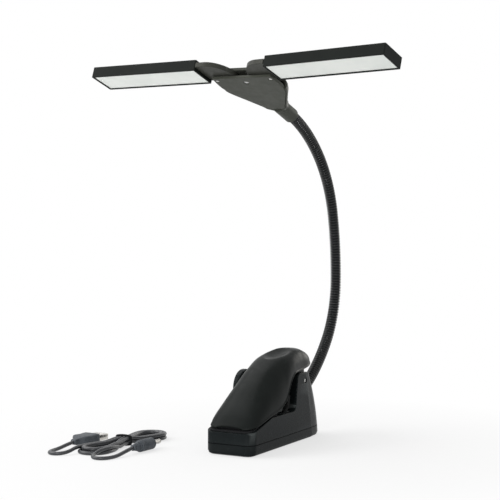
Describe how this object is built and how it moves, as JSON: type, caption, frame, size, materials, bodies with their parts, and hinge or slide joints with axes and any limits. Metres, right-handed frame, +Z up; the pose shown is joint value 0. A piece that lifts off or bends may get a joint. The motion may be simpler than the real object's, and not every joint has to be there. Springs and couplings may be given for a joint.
{
  "type": "clip-on reading lamp",
  "caption": "Battery reading lamp: sprung clip on a wedge foot, black gooseneck, and a leaf-shaped hub with folding light bars, with its power lead.",
  "frame": {"origin": "on the floor under the foot, midway between its sides, 60 mm behind its front face", "axes": "+Z up; -Y points to the nose of the clip; +X to the right for someone who looks along +Y, from the nose to the stern"},
  "size_m": [0.2613, 0.2504, 0.2962],
  "materials": {
    "casing_plastic": "fine-textured black ABS, satin",
    "lever_plastic": "smooth black ABS with a soft sheen",
    "button_plastic": "black ABS, satin",
    "jaw_rubber": "black rubber pad",
    "cell_sleeve": "plain silver-grey shrink sleeve",
    "contact_steel": "nickel-plated spring steel",
    "circuit_laminate": "green circuit board",
    "socket_plastic": "black moulded socket",
    "fastener_steel": "zinc-plated steel",
    "pin_steel": "bright turned steel",
    "neck_coating": "black-coated wound steel",
    "hub_plastic": "black ABS, satin",
    "arm_plastic": "black ABS, satin",
    "panel_plastic": "black ABS, matt",
    "diffuser_plastic": "opal white acrylic",
    "led_board_laminate": "white circuit board with LEDs",
    "cord_jacket": "black PVC cord",
    "plug_plastic": "black moulded plug",
    "plug_metal": "nickel-plated steel"
  },
  "bodies": {
    "base": {"foot_tray": "casing_plastic", "battery_door": "casing_plastic", "upper_casing": "casing_plastic", "battery_cell_1": "cell_sleeve", "battery_cell_2": "cell_sleeve", "battery_cell_3": "cell_sleeve", "front_battery_contacts": "contact_steel", "rear_battery_contacts": "contact_steel", "circuit_board": "circuit_laminate", "power_socket": "socket_plastic", "case_screw_1": "fastener_steel", "case_screw_2": "fastener_steel", "case_screw_3": "fastener_steel", "case_screw_4": "fastener_steel", "button_switch": "socket_plastic", "foot_jaw_pad": "jaw_rubber", "clamp_pin": "pin_steel", "clamp_spring": "pin_steel", "gooseneck_section_1": "neck_coating", "gooseneck_nut": "fastener_steel", "cord_hank": "cord_jacket", "cord_tie": "cord_jacket", "plug_cord": "cord_jacket", "usb_cord": "cord_jacket", "dc_plug_grip": "plug_plastic", "dc_plug_barrel": "plug_metal", "usb_plug_body": "plug_plastic", "usb_plug_shell": "plug_metal"},
    "lever": {"lever_shell": "lever_plastic", "lever_jaw_plate": "lever_plastic", "lever_jaw_pad": "jaw_rubber"},
    "button": {"power_button": "button_plastic"},
    "neck_2": {"gooseneck_section_2": "neck_coating"},
    "neck_3": {"gooseneck_section_3": "neck_coating"},
    "neck_4": {"gooseneck_section_4": "neck_coating"},
    "head": {"gooseneck_section_5": "neck_coating", "hub_front_plate": "hub_plastic", "hub_rear_shell": "hub_plastic", "hub_screw": "fastener_steel", "left_pivot_pin": "pin_steel", "right_pivot_pin": "pin_steel"},
    "left_wing": {"left_arm": "arm_plastic", "left_panel_housing": "panel_plastic", "left_diffuser": "diffuser_plastic", "left_led_board": "led_board_laminate"},
    "right_wing": {"right_arm": "arm_plastic", "right_panel_housing": "panel_plastic", "right_diffuser": "diffuser_plastic", "right_led_board": "led_board_laminate"}
  },
  "joints": [
    {"name": "clamp_open", "type": "hinge", "parent": "base", "child": "lever", "pos_m": [0, 0.0335, 0.047], "axis": [-1, 0, 0], "range_deg": [0, 20], "stiffness_Nm_per_rad": 0.8, "springref_deg": -28.65, "deforming": ["clamp_spring"]},
    {"name": "button_press", "type": "slide", "parent": "base", "child": "button", "axis": [1, 0, 0], "range_m": [0, 0.0008], "stiffness_N_per_m": 800, "springref_m": -0.001},
    {"name": "neck_lower_bend", "type": "hinge", "parent": "base", "child": "neck_2", "pos_m": [0, 0.10269, 0.07241], "axis": [1, 0, 0], "range_deg": [-25, 20]},
    {"name": "neck_sideways_bend", "type": "hinge", "parent": "neck_2", "child": "neck_3", "pos_m": [0, 0.12183, 0.125], "axis": [0, -0.9998, 0.0175], "range_deg": [-30, 30]},
    {"name": "neck_middle_bend", "type": "hinge", "parent": "neck_3", "child": "neck_4", "pos_m": [0, 0.11588, 0.18155], "axis": [1, 0, 0], "range_deg": [-30, 25]},
    {"name": "neck_upper_bend", "type": "hinge", "parent": "neck_4", "child": "head", "pos_m": [0, 0.0882, 0.23047], "axis": [1, 0, 0], "range_deg": [-40, 30]},
    {"name": "left_arm_fold", "type": "hinge", "parent": "head", "child": "left_wing", "pos_m": [-0.02327, -0.03608, 0.27857], "axis": [0.0419, 0.2921, 0.9555], "range_deg": [-0.8, 92.2]},
    {"name": "right_arm_fold", "type": "hinge", "parent": "head", "child": "right_wing", "pos_m": [0.02289, -0.03665, 0.27672], "axis": [-0.0419, -0.2921, -0.9555], "range_deg": [-8.6, 84.4]}
  ]
}
